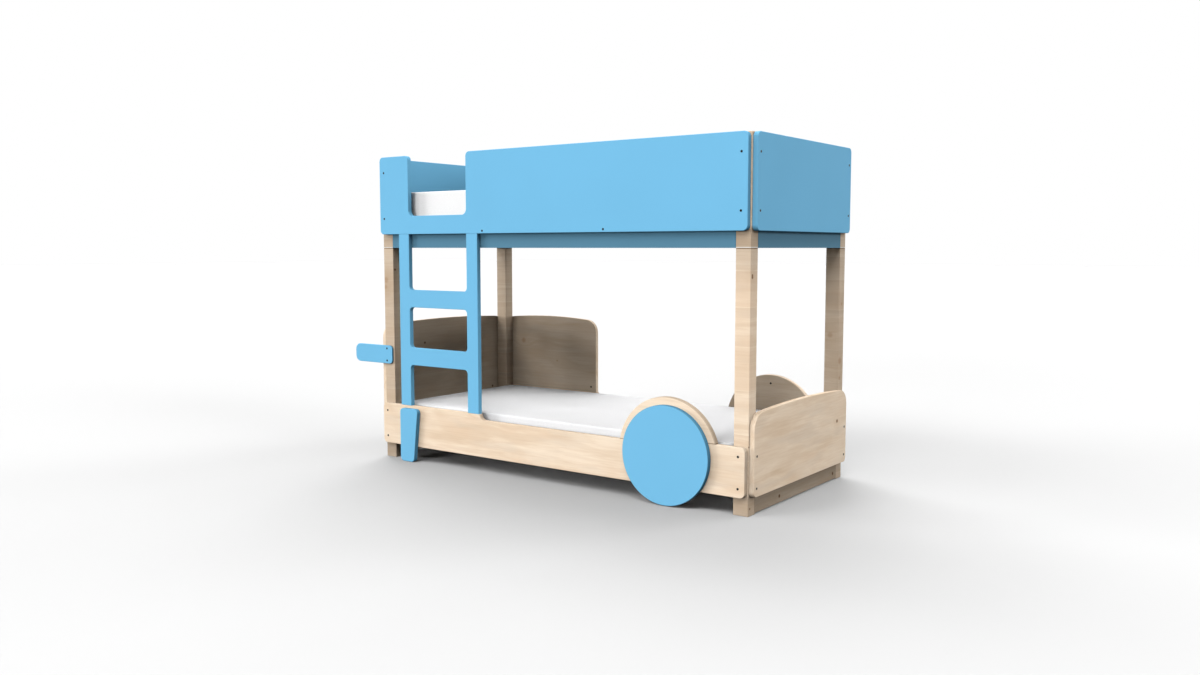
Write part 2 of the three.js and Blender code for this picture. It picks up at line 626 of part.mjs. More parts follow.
// The mudguard plate lies on the front side rail below the ladder: straight at the left, tapered at the right
function addMudguardPlate() {
  const r = MUDGUARD_CORNER_RADIUS;
  const left = -POST_OUTER_X + MUDGUARD_END_DISTANCE;
  const top = SIDE_RAIL_TOP - MUDGUARD_DROP;
  const outline = filleted([
    [left, MUDGUARD_FLOOR_GAP, r],
    [left + MUDGUARD_BOTTOM_WIDTH, MUDGUARD_FLOOR_GAP, r],
    [left + MUDGUARD_TOP_WIDTH, top, r],
    [left, top, r],
  ]);
  const y = -POST_OUTER_Y - BOARD_THICKNESS;
  place('mudguard_plate', facingFront(board(outline, BOARD_THICKNESS)), paint(BLUE), 0, y);
}

addPosts();
addSupportRails();
addGuardPanels();
addLadder();
addSideRails();
addWheels();
addEndBoards();
addBackBoard();
addBaseRails();
addBase('lower', POST_OUTER_Y, LOWER_LEDGER_TOP);
addBase('upper', POST_OUTER_Y - SUPPORT_RAIL_THICKNESS, UPPER_LEDGER_TOP);
addMattresses();
addMirrorPlate();
addMudguardPlate();

const group = new THREE.Group();
group.add(bed);

export default group;
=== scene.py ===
"""Dresses a children's bunk bed: painted and lacquered boards, screws, mattresses, and a plain studio."""

import math

import bmesh
import bpy
from mathutils import Matrix, Vector, noise


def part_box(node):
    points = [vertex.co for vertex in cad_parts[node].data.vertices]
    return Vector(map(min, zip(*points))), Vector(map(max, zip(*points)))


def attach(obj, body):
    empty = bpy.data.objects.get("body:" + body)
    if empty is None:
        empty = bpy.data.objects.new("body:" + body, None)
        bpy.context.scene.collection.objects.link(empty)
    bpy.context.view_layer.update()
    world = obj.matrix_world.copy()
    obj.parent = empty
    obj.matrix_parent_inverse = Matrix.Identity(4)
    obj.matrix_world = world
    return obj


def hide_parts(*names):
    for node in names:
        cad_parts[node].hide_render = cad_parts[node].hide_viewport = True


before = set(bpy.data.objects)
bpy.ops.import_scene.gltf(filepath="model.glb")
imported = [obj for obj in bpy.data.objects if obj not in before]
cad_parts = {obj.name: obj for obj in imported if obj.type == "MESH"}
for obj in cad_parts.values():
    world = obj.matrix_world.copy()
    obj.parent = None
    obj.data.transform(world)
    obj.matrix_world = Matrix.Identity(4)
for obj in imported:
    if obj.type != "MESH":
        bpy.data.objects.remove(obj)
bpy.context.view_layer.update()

bl_info = {
    "name": "Bunk bed",
    "version": (1, 0, 0),
    "blender": (4, 5, 0),
    "location": "3D View > Sidebar > Bunk Bed",
    "description": "Finishes, fittings, mattresses and studio of a children's bunk bed",
    "category": "Object",
}

BODY = "frame"
FRONT, BACK, LEFT, RIGHT = Vector((0, -1, 0)), Vector((0, 1, 0)), Vector((-1, 0, 0)), Vector((1, 0, 0))

POSTS = [f"{level}_post_{corner}" for level in ("lower", "upper")
         for corner in ("front_left", "front_right", "back_left", "back_right")]
LONG_BOARDS = ["side_rail_front", "side_rail_back", "wheel_arch_front", "wheel_arch_back", "back_board"]
CROSS_BOARDS = ["headboard", "footboard", "base_rail_left", "base_rail_right"]
PAINTED = ["guard_panel_front", "guard_panel_back", "guard_panel_left", "guard_panel_right", "ladder",
           "support_rail_front", "support_rail_back", "support_rail_left", "support_rail_right",
           "wheel_front", "wheel_back", "mirror_plate", "mudguard_plate"]
LEDGERS = [f"{level}_ledger_{side}" for level in ("lower", "upper") for side in ("front", "back")]
SLATS = [f"{level}_slat_{number:02d}" for level in ("lower", "upper") for number in range(1, 11)]
DOWELS = [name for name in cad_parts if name.startswith("post_dowel")]

# Painted shade of each part, as a share of its wood's colour: at its foot, over most of it, and at its top
# It darkens the parts inside the bed and under overhanging boards, where the lamps give too little shade
PAINTED_SHADES = {
    "lower_post_front_right": (0.60, 0.98, 0.76),
    "lower_post_front_left": (0.54, 0.72, 0.74),
    "lower_post_back_right": (0.63, 0.71, 0.65),
    "lower_post_back_left": (0.78, 0.76, 0.70),
    "upper_post_front_left": (0.68, 0.68, 0.68),
    "upper_post_front_right": (0.60, 1.0, 1.0),
    "upper_post_back_right": (0.72, 0.72, 0.72),
    "base_rail_left": (0.43, 0.43, 0.43),
    "base_rail_right": (0.43, 0.43, 0.43),
    "headboard": (0.64, 0.64, 0.64),
    "back_board": (0.61, 0.61, 0.61),
    "wheel_arch_back": (0.60, 0.60, 0.60),
}

# Boards whose painted shade lies on their face inside the bed alone: the axis and the side that this face looks to
INNER_FACES = {"headboard": (0, 1), "back_board": (1, -1)}
INNER_FACE_DEPTH = 0.003

# Knots in the wood: place on the board's face, in metres, radius, and how dark the heart is.
# A knot paler than PALE_KNOT lies under the surface and shows as a soft stain.
PALE_KNOT = 0.5
KNOTS = {
    "lower_post_front_right": [((1.1725, -0.4547, 0.9805), 0.0085, 0.9), ((1.1725, -0.4547, 0.9875), 0.0075, 0.9),
                               ((1.1725, -0.466, 0.289), 0.005, 0.7), ((1.1725, -0.4535, 0.0316), 0.006, 0.8)],
    "lower_post_front_left": [((-0.9065, -0.457, 0.9855), 0.007, 0.95), ((-0.9625, -0.4685, 0.93), 0.020, 0.45),
                              ((-0.9655, -0.4685, 0.895), 0.014, 0.40)],
    "lower_post_back_right": [((1.1725, 0.430, 0.565), 0.020, 0.49), ((1.1725, 0.4294, 0.483), 0.011, 0.48),
                              ((1.1725, 0.438, 0.834), 0.010, 0.45), ((1.13, 0.4095, 0.687), 0.016, 0.40)],
    "footboard": [((1.1965, 0.3566, 0.2889), 0.0105, 0.95)],
    "headboard": [((-0.9765, -0.183, 0.5805), 0.008, 0.9), ((-0.9765, 0.3627, 0.2842), 0.008, 0.9)],
    "back_board": [((-0.8213, 0.4685, 0.5562), 0.018, 0.45), ((-0.57, 0.4685, 0.45), 0.007, 0.48)],
    "base_rail_right": [((1.1725, -0.1852, 0.0334), 0.010, 0.95), ((1.1725, 0.3721, 0.0329), 0.010, 0.95)],
}

# Where a part's painted shade changes: metres above its foot, and the share of its height where the top begins
FOOT_SHADE_FROM, FOOT_SHADE_TO = 0.07, 0.10
TOP_SHADE_FROM = 0.78

# Shade, as a share of the wood's colour, on the arches' rims and in the joints
RIM_SHADE = (0.66, 0.64, 0.62)
ARCH_JOINT_SHADE = (0.50, 0.42, 0.34)
POST_JOINT_SHADE = (0.40, 0.34, 0.28)

# Heights of the thin lines at the joints, in metres: a line is full up to the first and gone at the second
# The pale lines, at the foot of the upper posts and of the base rails, are painted highlights on rounded edges
POST_LINE = (0.0035, 0.0045)
ARCH_LINE = (0.003, 0.004)
BASE_RAIL_HIGHLIGHT = (0.004, 0.006)
BASE_RAIL_HIGHLIGHT_SHARE = 0.5

# Places of the screws, in metres from the edges of the board that they sit in
BOARD_SETBACK = 0.005
PANEL_SCREW_SIDE, END_PANEL_SCREW_SIDE, PANEL_SCREW_RISE, PANEL_EDGE_SCREW_RISE = 0.0305, 0.0235, 0.08, 0.013
RAIL_SCREW_SIDE, RAIL_SCREW_RISE, RAIL_SCREW_DROP = 0.031, 0.0375, 0.039
END_BOARD_SCREW_SIDE, END_BOARD_SCREW_RISE, END_BOARD_SCREW_HEIGHT = 0.0225, 0.036, 0.2505
BACK_BOARD_SCREW_SIDE, BACK_BOARD_SCREW_RISE = 0.033, 0.028
ARCH_SCREW_DROP = 0.043
MIRROR_SCREW_SIDE, MIRROR_SCREW_DROP, MIRROR_SCREW_RISE = 0.039, 0.016, 0.0155

WEAVE_PITCH = 0.0022
INFLATION_FRAMES = 20
FLOOR_HALF_SIZE = 60
FLOOR_FADE_FROM, FLOOR_FADE_TO = 2.5, 14.0
LAMP_DISTANCE = 6


# Sizes and colours that a user would change

class BunkBedTimber(bpy.types.PropertyGroup):
    """Lacquered birch of the posts, rails and boards, and the planed slats."""

    light: bpy.props.FloatVectorProperty(
        name="Light wood", description="Colour of the pale wood",
        subtype="COLOR", size=3, min=0, max=1, default=(0.99, 0.83, 0.655))
    dark: bpy.props.FloatVectorProperty(
        name="Ring wood", description="Colour of the darker growth rings and streaks",
        subtype="COLOR", size=3, min=0, max=1, default=(0.74, 0.54, 0.36))
    flush: bpy.props.FloatVectorProperty(
        name="Flush", description="Colour of the warm patches that run along the grain",
        subtype="COLOR", size=3, min=0, max=1, default=(0.85, 0.64, 0.455))
    grey: bpy.props.FloatVectorProperty(
        name="Grey cast", description="Colour of the cool patches that run along the grain",
        subtype="COLOR", size=3, min=0, max=1, default=(0.80, 0.665, 0.53))
    warm: bpy.props.FloatVectorProperty(
        name="Warm wood", description="Colour of the paler, warmer board that the front arch is cut from",
        subtype="COLOR", size=3, min=0, max=1, default=(1.0, 0.83, 0.645))
    # The pale cut edge is a painted highlight, where the rounded edges at the foot of the upper posts and of the
    # base rails catch the light
    edge: bpy.props.FloatVectorProperty(
        name="Cut edge", description="Colour of the pale cut edge where one post stands on another",
        subtype="COLOR", size=3, min=0, max=1, default=(1.0, 0.97, 0.90))
    knot: bpy.props.FloatVectorProperty(
        name="Knot", description="Colour of the heart of a knot",
        subtype="COLOR", size=3, min=0, max=1, default=(0.22, 0.10, 0.035))
    stain: bpy.props.FloatVectorProperty(
        name="Stain", description="Colour of the soft brown marks round hidden knots",
        subtype="COLOR", size=3, min=0, max=1, default=(0.56, 0.31, 0.18))
    slat: bpy.props.FloatVectorProperty(
        name="Slat wood", description="Colour of the bare slats and ledgers",
        subtype="COLOR", size=3, min=0, max=1, default=(0.97, 0.90, 0.80))
    roughness: bpy.props.FloatProperty(
        name="Roughness", description="Roughness of the clear lacquer",
        subtype="FACTOR", min=0, max=1, default=0.5)
    block_height: bpy.props.FloatProperty(
        name="Block height", description="Mean height of the glued blocks in a post",
        subtype="DISTANCE", min=0.05, max=1, default=0.15)


class BunkBedPaint(bpy.types.PropertyGroup):
    """Satin paint of the panels, ladder, wheels and plates."""

    colour: bpy.props.FloatVectorProperty(
        name="Paint", description="Colour of the painted boards",
        subtype="COLOR", size=3, min=0, max=1, default=(0.194, 0.540, 0.820))
    # The rails' paint is the panels' blue, darkened as painted shade under the panels
    rails: bpy.props.FloatVectorProperty(
        name="Rail paint", description="Colour of the painted rails under the panels",
        subtype="COLOR", size=3, min=0, max=1, default=(0.108, 0.256, 0.368))
    # The wheels' rims are in painted shade: they keep only this share of the paint's brightness
    rim: bpy.props.FloatProperty(
        name="Rim", description="Share of the paint's brightness that the wheels' rims keep",
        subtype="FACTOR", min=0, max=1, default=0.72)
    roughness: bpy.props.FloatProperty(
        name="Roughness", description="Roughness of the paint",
        subtype="FACTOR", min=0, max=1, default=0.55)


class BunkBedScrews(bpy.types.PropertyGroup):
    """Socket-head screws in the boards."""

    head_diameter: bpy.props.FloatProperty(
        name="Head diameter", description="Diameter of a screw's head",
        subtype="DISTANCE", min=0.003, max=0.03, default=0.0105)
    head_rise: bpy.props.FloatProperty(
        name="Head rise", description="How far a head stands proud of its board",
        subtype="DISTANCE", min=0.0001, max=0.005, default=0.0006)
    head_depth: bpy.props.FloatProperty(
        name="Head depth", description="How deep a head is sunk in its board",
        subtype="DISTANCE", min=0.0001, max=0.01, default=0.003)
    socket_diameter: bpy.props.FloatProperty(
        name="Socket diameter", description="Diameter across the corners of the hexagon socket",
        subtype="DISTANCE", min=0.001, max=0.02, default=0.006)
    colour: bpy.props.FloatVectorProperty(
        name="Steel", description="Colour of the blackened steel",
        subtype="COLOR", size=3, min=0, max=1, default=(0.012, 0.012, 0.012))


class BunkBedMattress(bpy.types.PropertyGroup):
    """The two foam mattresses."""

    # The two covers are one fabric as lit and shaded copies: the lower one is darker and a little bluer as painted
    # shade under the upper bed
    lower_cover: bpy.props.FloatVectorProperty(
        name="Lower cover", description="Colour of the lower mattress's woven cover",
        subtype="COLOR", size=3, min=0, max=1, default=(0.935, 0.935, 0.945))
    upper_cover: bpy.props.FloatVectorProperty(
        name="Upper cover", description="Colour of the upper mattress's woven cover",
        subtype="COLOR", size=3, min=0, max=1, default=(0.985, 0.985, 0.985))
    lower_corner: bpy.props.FloatProperty(
        name="Lower corner", description="Radius of the lower mattress's upright corners",
        subtype="DISTANCE", min=0.005, max=0.1, default=0.045)
    upper_corner: bpy.props.FloatProperty(
        name="Upper corner", description="Radius of the upper mattress's upright corners",
        subtype="DISTANCE", min=0.005, max=0.1, default=0.022)
    rim: bpy.props.FloatProperty(
        name="Rim", description="Radius of the mattresses' top and bottom edges",
        subtype="DISTANCE", min=0.003, max=0.05, default=0.008)
    cell: bpy.props.FloatProperty(
        name="Cell", description="Size of the cover's mesh before its last subdivision",
        subtype="DISTANCE", min=0.005, max=0.1, default=0.02)
    slack: bpy.props.FloatProperty(
        name="Slack", description="How much smaller the cover starts before it is inflated",
        subtype="DISTANCE", min=0, max=0.02, default=0.004)
    pressure: bpy.props.FloatProperty(
        name="Pressure", description="Pressure of the foam on the cover",
        min=0, max=20, default=4)
    travel: bpy.props.FloatProperty(
        name="Travel", description="The furthest that a point of the cover may move",
        subtype="DISTANCE", min=0, max=0.03, default=0.0055)
    ripple: bpy.props.FloatProperty(
        name="Ripple", description="Height of the soft waves that run along the cover",
        subtype="DISTANCE", min=0, max=0.01, default=0.0012)


class BunkBedStage(bpy.types.PropertyGroup):
    """Camera, floor and lamps."""

    lens: bpy.props.FloatProperty(
        name="Lens", description="Focal length on a sensor 36 mm wide", min=10, max=200, default=31.177)
    place: bpy.props.FloatVectorProperty(
        name="Camera place", description="Where the camera stands",
        subtype="TRANSLATION", size=3, default=(3.1506, -4.1918, 1.1))
    pitch: bpy.props.FloatProperty(
        name="Camera pitch", description="How far the camera looks down",
        subtype="ANGLE", default=math.radians(4.951))
    heading: bpy.props.FloatProperty(
        name="Camera heading", description="Turn of the camera from the bed's own front",
        subtype="ANGLE", default=math.radians(36.23))
    floor: bpy.props.FloatVectorProperty(
        name="Floor", description="Colour of the floor near the bed",
        subtype="COLOR", size=3, min=0, max=1, default=(0.652, 0.652, 0.652))
    floor_far: bpy.props.FloatVectorProperty(
        name="Far floor", description="Colour of the floor far off, where it meets the background",
        subtype="COLOR", size=3, min=0, max=1, default=(0.683, 0.683, 0.683))
    floor_bounce: bpy.props.FloatVectorProperty(
        name="Floor bounce", description="Colour of the light that the floor throws back",
        subtype="COLOR", size=3, min=0, max=1, default=(0.3, 0.3, 0.3))
    world: bpy.props.FloatProperty(
        name="World", description="Strength of the even light from all round",
        min=0, max=5, default=0.025)
    lamp_level: bpy.props.FloatProperty(
        name="Lamp level", description="Level of all the lamps together",
        min=0, max=5, default=1.0)
    lamp_width: bpy.props.FloatProperty(
        name="Lamp width", description="How wide each lamp looks from the bed, which softens its shadows",
        subtype="ANGLE", min=0, max=3, default=math.radians(22))
    lamp_bounces: bpy.props.IntProperty(
        name="Lamp bounces", description="How often a lamp's light may bounce",
        min=0, max=16, default=0)


# Small helpers for node trees

def link(tree, value, socket):
    """Feeds a socket from another socket, or sets it to a plain value."""
    if isinstance(value, bpy.types.NodeSocket):
        tree.links.new(value, socket)
    else:
        socket.default_value = value


def node(tree, kind, settings=None, **inputs):
    """Adds a node, with its settings and its inputs by name or number."""
    made = tree.nodes.new(kind)
    for key, value in (settings or {}).items():
        setattr(made, key, value)
    for key, value in inputs.items():
        found = made.inputs[int(key[1:])] if key[0] == "i" and key[1:].isdigit() else made.inputs[key]
        link(tree, value, found)
    return made


def maths(tree, operation, first, second=0.0):
    return node(tree, "ShaderNodeMath", {"operation": operation}, i0=first, i1=second).outputs[0]


def vector_maths(tree, operation, first, second=(0, 0, 0)):
    made = node(tree, "ShaderNodeVectorMath", {"operation": operation}, i0=first, i1=second)
    return made.outputs["Value" if operation in ("LENGTH", "DISTANCE", "DOT_PRODUCT") else "Vector"]


def remap(tree, value, low, high, to_low=0.0, to_high=1.0, smooth=True):
    settings = {"interpolation_type": "SMOOTHSTEP" if smooth else "LINEAR"}
    made = node(tree, "ShaderNodeMapRange", settings, Value=value)
    for name, number in (("From Min", low), ("From Max", high), ("To Min", to_low), ("To Max", to_high)):
        made.inputs[name].default_value = number
    return made.outputs["Result"]


def mix(tree, share, first, second, blend="MIX"):
    made = node(tree, "ShaderNodeMix", {"data_type": "RGBA", "blend_type": blend})
    link(tree, share, made.inputs[0])
    link(tree, first if isinstance(first, bpy.types.NodeSocket) else (*first, 1), made.inputs[6])
    link(tree, second if isinstance(second, bpy.types.NodeSocket) else (*second, 1), made.inputs[7])
    return made.outputs[2]


def parts_of(tree, vector):
    """The x, y and z of a vector."""
    return node(tree, "ShaderNodeSeparateXYZ", None, Vector=vector).outputs


def grey(tree, level):
    """A colour whose three parts are one number."""
    return node(tree, "ShaderNodeCombineColor", None, i0=level, i1=level, i2=level).outputs[0]


def noise_of(tree, vector, scale, detail=2.0, roughness=0.5, dimensions="3D"):
    made = node(tree, "ShaderNodeTexNoise", {"noise_dimensions": dimensions}, Scale=scale, Detail=detail,
                Roughness=roughness)
    tree.links.new(vector, made.inputs["W" if dimensions == "1D" else "Vector"])
    return made.outputs["Fac"]


def new_material(name):
    material = bpy.data.materials.new(name)
    material.use_nodes = True
    tree = material.node_tree
    tree.nodes.clear()
    shader = tree.nodes.new("ShaderNodeBsdfPrincipled")
    output = tree.nodes.new("ShaderNodeOutputMaterial")
    tree.links.new(shader.outputs[0], output.inputs["Surface"])
    coords = tree.nodes.new("ShaderNodeTexCoord").outputs["Object"]
    return material, tree, shader, coords


def bump(tree, height, distance, strength=1.0, normal=None):
    made = node(tree, "ShaderNodeBump", None, Height=height, Distance=distance, Strength=strength)
    if normal is not None:
        tree.links.new(normal, made.inputs["Normal"])
    return made.outputs["Normal"]


def wear(name, material):
    """Gives a node of the frame its finish."""
    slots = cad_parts[name].data.materials
    slots.clear()
    slots.append(material)


# Finishes

def knot_figure(tree, coords, knots):
    """(share of knot, share of stain, how much the rings bend) at each point."""
    heart = stain = bend = None
    for place, radius, depth in knots:
        away = vector_maths(tree, "DISTANCE", coords, place)
        core = remap(tree, away, radius * 0.35, radius * 1.15, depth, 0.0)
        swirl = remap(tree, away, 0.0, radius * 6, radius * 1.4, 0.0)
        if depth < PALE_KNOT:
            stain = core if stain is None else maths(tree, "MAXIMUM", stain, core)
        else:
            heart = core if heart is None else maths(tree, "MAXIMUM", heart, core)
        bend = swirl if bend is None else maths(tree, "ADD", bend, swirl)
    return heart, stain, bend


def post_blocks(tree, placed, seed, settings):
    """(joint line, tone of the block, place with each block's own shift) of a post glued up from short blocks."""
    upright = maths(tree, "ADD", parts_of(tree, placed)[2], seed * 0.731)
    scale = 1 / settings.block_height
    cells = node(tree, "ShaderNodeTexVoronoi", {"voronoi_dimensions": "1D"}, W=upright, Scale=scale)
    edges = node(tree, "ShaderNodeTexVoronoi", {"voronoi_dimensions": "1D", "feature": "DISTANCE_TO_EDGE"},
                 W=upright, Scale=scale)
    joint = remap(tree, edges.outputs["Distance"], 0.0, 0.02, 1.0, 0.0)
    tone = node(tree, "ShaderNodeSeparateColor", None, Color=cells.outputs["Color"]).outputs[0]
    return joint, tone, vector_maths(tree, "ADD", placed, cells.outputs["Color"])


def ring_radius(tree, placed, blocks, seed):
    """Distance from the heart of the log, which the growth rings follow."""
    parts = parts_of(tree, placed)
    if blocks:
        return parts[2]
    height = maths(tree, "SUBTRACT", parts[2], 0.3 + 0.05 * math.sin(seed))
    depth = maths(tree, "ADD", parts[1], 0.1)
    return maths(tree, "SQRT", maths(tree, "ADD", maths(tree, "MULTIPLY", height, height),
                                     maths(tree, "MULTIPLY", depth, depth)))


def with_painted_shade(tree, colour, coords, painted_shades, heights, inner):
    """The wood under its part's painted shade, which changes near the foot and the top."""
    if tuple(painted_shades) == (1, 1, 1):
        return colour
    low, high = heights
    rise = parts_of(tree, coords)[2]
    foot = remap(tree, rise, low + FOOT_SHADE_FROM, low + FOOT_SHADE_TO, painted_shades[0], painted_shades[1])
    top = remap(tree, rise, low + TOP_SHADE_FROM * (high - low), high, 1.0, painted_shades[2] / painted_shades[1])
    share = 1.0
    if inner:
        axis, side, face = inner
        share = maths(tree, "GREATER_THAN" if side > 0 else "LESS_THAN", parts_of(tree, coords)[axis], face)
    return mix(tree, share, colour, grey(tree, maths(tree, "MULTIPLY", foot, top)), "MULTIPLY")


def post_seam(tree, colour, coords, name, heights, settings):
    """The joint between two posts: a painted highlight along the upper one's foot, and a dark line on top of the
    lower one.
    """
    rise = parts_of(tree, coords)[2]
    if "upper" in name:
        # A painted highlight along the upper post's rounded foot
        seam = remap(tree, rise, heights[0] + POST_LINE[0], heights[0] + POST_LINE[1], 1.0, 0.0)
        return mix(tree, seam, colour, settings.edge)
    seam = remap(tree, rise, heights[1] - POST_LINE[1], heights[1] - POST_LINE[0])
    return mix(tree, seam, colour, POST_JOINT_SHADE, "MULTIPLY")


def arch_marks(tree, colour, before_painted_shade, coords, name, heights, disc):
    """An arch's rim, in painted shade on the front arch and without its part's painted shade on the back one, and
    the dark joint under each of its two feet.
    """
    rim = rim_of(tree, coords, disc)
    # The front arch's rim is in painted shade; the back arch's rim keeps the wood without its painted shade
    if name.endswith("front"):
        colour = mix(tree, rim, colour, RIM_SHADE, "MULTIPLY")
    else:
        colour = mix(tree, rim, colour, before_painted_shade)
    place = parts_of(tree, coords)
    low_foot = remap(tree, place[2], heights[0] + ARCH_LINE[0], heights[0] + ARCH_LINE[1], 1.0, 0.0)
    rail_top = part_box("side_rail_front")[1].z
    high_foot = remap(tree, place[2], rail_top + ARCH_LINE[0], rail_top + ARCH_LINE[1], 1.0, 0.0)
    high_foot = maths(tree, "MULTIPLY", high_foot, maths(tree, "GREATER_THAN", place[0], disc[0]))
    return mix(tree, maths(tree, "MAXIMUM", low_foot, high_foot), colour, ARCH_JOINT_SHADE, "MULTIPLY")


def birch(name, grain, seed, settings, knots=(), painted_shades=(1, 1, 1), heights=(0, 1), disc=None, tint=None, inner=None):
    """Lacquered birch: soft ring figure, streaks, patches, fibres, knots, and a painted shade that may change with
    height.

    The grain runs along one axis, or round a post that is built up of short blocks."""
    material, tree, shader, coords = new_material(name)
    turn = {"X": (0, 0, 0), "Y": (0, 0, math.radians(-90)), "Z": (0, math.radians(90), 0), "round": (0, 0, 0)}[grain]
    along = node(tree, "ShaderNodeMapping", None, Vector=coords, Rotation=turn).outputs[0]
    shift = (seed * 1.37, 0.03 * math.sin(seed * 2.1), 0.04 * math.cos(seed * 1.7))
    placed = vector_maths(tree, "ADD", along, shift)
    blocks = grain == "round"
    if blocks:
        joint, tone, placed = post_blocks(tree, placed, seed, settings)
    heart, stain, bend = knot_figure(tree, coords, knots)

    def grained(length, across, detail=2.0, roughness=0.5):
        scales = (length, length, across) if blocks else (length, across, across)
        return noise_of(tree, vector_maths(tree, "MULTIPLY", placed, scales), 1.0, detail, roughness)

    drift = grained(1.6, 7.0, 2.0)
    radius = ring_radius(tree, placed, blocks, seed)
    radius = maths(tree, "ADD", radius, maths(tree, "MULTIPLY", drift, 0.13))
    if bend is not None:
        radius = maths(tree, "ADD", radius, bend)
    rings = noise_of(tree, radius, 26.0, 4.0, 0.62, "1D")
    clouds = grained(2.4, 7.0, 2.0)
    streaks = grained(2.6, 26.0, 3.0, 0.55)
    patches = grained(4.0, 11.0, 3.0)
    casts = grained(3.1, 15.0, 2.0)
    threads = grained(6.0, 120.0, 2.0, 0.6)
    fibres = grained(18.0, 520.0, 2.0, 0.6)
    flecks = grained(60.0, 420.0, 1.0)

    # Each layer of the figure: where it begins and is full, its share there, and its colour
    colour = mix(tree, remap(tree, rings, 0.34, 0.70, 0.0, 0.50), settings.light, settings.dark)
    colour = mix(tree, remap(tree, streaks, 0.44, 0.70, 0.0, 0.50), colour, settings.dark)
    colour = mix(tree, remap(tree, patches, 0.46, 0.68, 0.0, 0.60), colour, settings.flush)
    colour = mix(tree, remap(tree, casts, 0.50, 0.70, 0.0, 0.55), colour, settings.grey)
    colour = mix(tree, remap(tree, clouds, 0.30, 0.62, 0.45, 0.0), colour, settings.light)
    if name.endswith("arch_front"):
        colour = mix(tree, 0.65, colour, settings.warm)
    colour = mix(tree, remap(tree, threads, 0.40, 0.75, 0.0, 0.28), colour, settings.dark)
    colour = mix(tree, remap(tree, fibres, 0.3, 0.7, 0.0, 0.10), colour, settings.dark)
    colour = mix(tree, remap(tree, flecks, 0.66, 0.80, 0.0, 0.25), colour, settings.flush)
    if tint is not None:
        colour = mix(tree, 0.6, colour, tint, "MULTIPLY")
    if blocks:
        colour = mix(tree, remap(tree, tone, 0.0, 1.0, 0.0, 0.55, False), colour, settings.flush)
        colour = mix(tree, maths(tree, "MULTIPLY", joint, 0.6), colour, settings.light)
    if bend is not None:
        swirl = maths(tree, "MINIMUM", maths(tree, "MULTIPLY", bend, 14.0), 0.45)
        colour = mix(tree, swirl, colour, settings.dark)
    if stain is not None:
        colour = mix(tree, stain, colour, settings.stain)
    if heart is not None:
        colour = mix(tree, heart, colour, settings.knot)
    before_painted_shade = colour
    # Painted shade over the wood, on its inner face alone where one is given
    colour = with_painted_shade(tree, colour, coords, painted_shades, heights, inner)
    if blocks:
        colour = post_seam(tree, colour, coords, name, heights, settings)
    # A painted highlight along the base rail's foot, where its rounded edge catches the light
    if "base_rail" in name:
        low, high = (heights[0] + rise for rise in BASE_RAIL_HIGHLIGHT)
        line = remap(tree, parts_of(tree, coords)[2], low, high, BASE_RAIL_HIGHLIGHT_SHARE, 0.0)
        colour = mix(tree, line, colour, settings.edge)
    if disc:
        colour = arch_marks(tree, colour, before_painted_shade, coords, name, heights, disc)
    tree.links.new(colour, shader.inputs["Base Color"])
    tree.links.new(remap(tree, fibres, 0.2, 0.8, settings.roughness - 0.05, settings.roughness + 0.08),
                   shader.inputs["Roughness"])
    relief = maths(tree, "ADD", fibres, maths(tree, "MULTIPLY", rings, 0.6))
    tree.links.new(bump(tree, relief, 0.0002, 0.5), shader.inputs["Normal"])
    shader.inputs["Specular IOR Level"].default_value = 0.01
    return material


def rim_of(tree, coords, disc):
    """1 on the round rim of an upright disc (centre x, centre z, radius), and 0 on its faces."""
    centre_x, centre_z, radius = disc
    flat = vector_maths(tree, "MULTIPLY", coords, (1, 0, 1))
    away = vector_maths(tree, "DISTANCE", flat, (centre_x, 0, centre_z))
    return remap(tree, away, radius - 0.003, radius - 0.001)


def satin_paint(name, colour, roughness, disc=None, rim=0.6):
    """Satin paint over a smooth board: a faint roller texture, a faint change of tone, and a painted shade on a
    disc's rim.
    """
    material, tree, shader, coords = new_material(name)
    cloud = noise_of(tree, coords, 2.2, 2.0, 0.5)
    roller = noise_of(tree, coords, 900.0, 2.0, 0.6)
    swell = noise_of(tree, coords, 60.0, 2.0, 0.5)
    deeper = tuple(c * 0.985 for c in colour)
    lighter = tuple(min(1.0, c * 1.01) for c in colour)
    tint = mix(tree, remap(tree, cloud, 0.3, 0.7), deeper, lighter)
    if disc:
        # Painted shade on the disc's rim: the paint darkened to the rim's share
        tint = mix(tree, rim_of(tree, coords, disc), tint, tuple(c * rim for c in colour))
    tree.links.new(tint, shader.inputs["Base Color"])
    tree.links.new(remap(tree, swell, 0.3, 0.7, roughness - 0.04, roughness + 0.04),
                   shader.inputs["Roughness"])
    fine = bump(tree, roller, 0.00005, 0.5)
    tree.links.new(bump(tree, swell, 0.0001, 0.25, fine), shader.inputs["Normal"])
    shader.inputs["Specular IOR Level"].default_value = 0.01
    return material


def black_steel(name, settings):
    """Blackened steel of the screws."""
    material, tree, shader, coords = new_material(name)
    spots = noise_of(tree, coords, 1500.0, 2.0, 0.5)
    lighter = tuple(min(1.0, c * 1.8) for c in settings.colour)
    tree.links.new(mix(tree, spots, tuple(settings.colour), lighter), shader.inputs["Base Color"])
    tree.links.new(remap(tree, spots, 0.2, 0.8, 0.38, 0.55), shader.inputs["Roughness"])
    shader.inputs["Specular IOR Level"].default_value = 0.1
    return material


